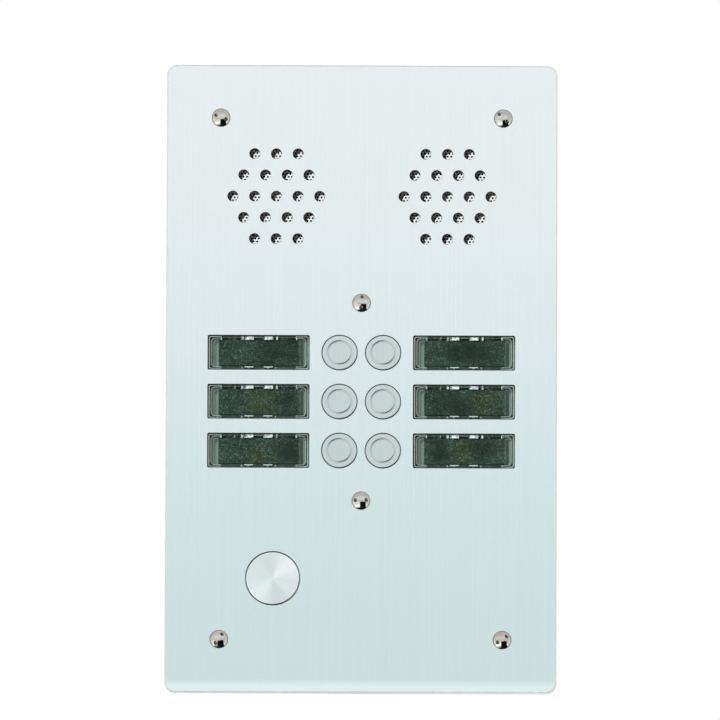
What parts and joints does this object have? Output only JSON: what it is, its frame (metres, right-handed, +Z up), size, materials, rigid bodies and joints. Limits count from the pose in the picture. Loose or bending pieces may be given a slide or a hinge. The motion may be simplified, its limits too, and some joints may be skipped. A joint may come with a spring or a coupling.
{
  "type": "door intercom panel",
  "caption": "Flush-mounted brushed steel door intercom panel with speech grilles, call buttons beside name windows, a large round push button and a wall box.",
  "frame": {"origin": "centre of the back box's rear face", "axes": "+Z up, +X to the right seen from the street, +Y into the wall; the front plate faces -Y"},
  "size_m": [0.18, 0.0509, 0.295],
  "materials": {
    "plate_steel": "vertically brushed stainless",
    "button_steel": "finely brushed solid stainless",
    "spun_steel": "spun stainless with a circular grain",
    "mesh_steel": "bright perforated stainless",
    "screw_steel": "polished stainless",
    "galvanised_steel": "galvanised sheet",
    "zinc_hardware": "zinc plated",
    "spring_steel": "drawn wire",
    "brass": "knurled brass",
    "contact_gold": "gold flashed",
    "black_plastic": "moulded, fine texture",
    "tray_plastic": "grey-green light guide",
    "clip_plastic": "white moulded",
    "window_clear": "clear polycarbonate",
    "label_card": "dark grey-green insert",
    "gasket_rubber": "closed-cell EPDM",
    "grommet_rubber": "soft black rubber",
    "board_green": "solder mask",
    "board_white": "white solder mask",
    "led_lens": "phosphor lens",
    "basket_paint": "black stoved paint",
    "cone_paper": "doped cone",
    "ferrite": "ferrite and steel",
    "capsule_alu": "anodised can",
    "terminal_green": "terminal housing",
    "relay_blue": "relay cover",
    "capacitor_sleeve": "shrink sleeve",
    "trimmer_blue": "trimmer body",
    "lead_insulation": "thin lead insulation"
  },
  "bodies": {
    "panel": {"front_plate": "plate_steel", "panel_gasket": "gasket_rubber", "loudspeaker_gasket": "gasket_rubber", "back_box_walls": "galvanised_steel", "back_box_rear": "galvanised_steel", "corner_posts": "zinc_hardware", "plate_studs": "zinc_hardware", "stud_nuts": "zinc_hardware", "board_standoffs": "zinc_hardware", "board_screws": "zinc_hardware", "terminal_screws": "zinc_hardware", "corner_screws": "screw_steel", "centre_screws": "screw_steel", "carrier_inserts": "brass", "button_carrier": "black_plastic", "service_button_housing": "black_plastic", "microphone_housing": "black_plastic", "board_components": "black_plastic", "button_board": "board_green", "service_board": "board_green", "main_board": "board_green", "button_contacts": "contact_gold", "call_button_spring_1": "spring_steel", "name_window_1": "window_clear", "call_button_spring_2": "spring_steel", "name_window_2": "window_clear", "call_button_spring_3": "spring_steel", "name_window_3": "window_clear", "call_button_spring_4": "spring_steel", "name_window_4": "window_clear", "call_button_spring_5": "spring_steel", "name_window_5": "window_clear", "call_button_spring_6": "spring_steel", "name_window_6": "window_clear", "name_labels": "label_card", "name_trays": "tray_plastic", "name_clips": "clip_plastic", "backlight_boards": "board_white", "backlight_leds": "led_lens", "service_button_spring": "spring_steel", "grille_mesh_left": "mesh_steel", "grille_mesh_right": "mesh_steel", "loudspeaker_basket": "basket_paint", "loudspeaker_cone": "cone_paper", "loudspeaker_magnet": "ferrite", "microphone_boot": "grommet_rubber", "cable_grommet": "grommet_rubber", "microphone_capsule": "capsule_alu", "terminal_block": "terminal_green", "lock_relays": "relay_blue", "capacitors": "capacitor_sleeve", "volume_trimmers": "trimmer_blue", "internal_leads": "lead_insulation"},
    "call_button_1": {"call_button_cap_1": "button_steel"},
    "call_button_2": {"call_button_cap_2": "button_steel"},
    "call_button_3": {"call_button_cap_3": "button_steel"},
    "call_button_4": {"call_button_cap_4": "button_steel"},
    "call_button_5": {"call_button_cap_5": "button_steel"},
    "call_button_6": {"call_button_cap_6": "button_steel"},
    "service_button": {"service_button_cap": "spun_steel"}
  },
  "joints": [
    {"name": "call_button_1_press", "type": "slide", "parent": "panel", "child": "call_button_1", "axis": [0, 1, 0], "range_m": [0, 0.001], "stiffness_N_per_m": 500, "springref_m": -0.003, "deforming": ["call_button_spring_1"]},
    {"name": "call_button_2_press", "type": "slide", "parent": "panel", "child": "call_button_2", "axis": [0, 1, 0], "range_m": [0, 0.001], "stiffness_N_per_m": 500, "springref_m": -0.003, "deforming": ["call_button_spring_2"]},
    {"name": "call_button_3_press", "type": "slide", "parent": "panel", "child": "call_button_3", "axis": [0, 1, 0], "range_m": [0, 0.001], "stiffness_N_per_m": 500, "springref_m": -0.003, "deforming": ["call_button_spring_3"]},
    {"name": "call_button_4_press", "type": "slide", "parent": "panel", "child": "call_button_4", "axis": [0, 1, 0], "range_m": [0, 0.001], "stiffness_N_per_m": 500, "springref_m": -0.003, "deforming": ["call_button_spring_4"]},
    {"name": "call_button_5_press", "type": "slide", "parent": "panel", "child": "call_button_5", "axis": [0, 1, 0], "range_m": [0, 0.001], "stiffness_N_per_m": 500, "springref_m": -0.003, "deforming": ["call_button_spring_5"]},
    {"name": "call_button_6_press", "type": "slide", "parent": "panel", "child": "call_button_6", "axis": [0, 1, 0], "range_m": [0, 0.001], "stiffness_N_per_m": 500, "springref_m": -0.003, "deforming": ["call_button_spring_6"]},
    {"name": "service_button_press", "type": "slide", "parent": "panel", "child": "service_button", "axis": [0, 1, 0], "range_m": [0, 0.0012], "stiffness_N_per_m": 800, "springref_m": -0.0035, "deforming": ["service_button_spring"]}
  ]
}
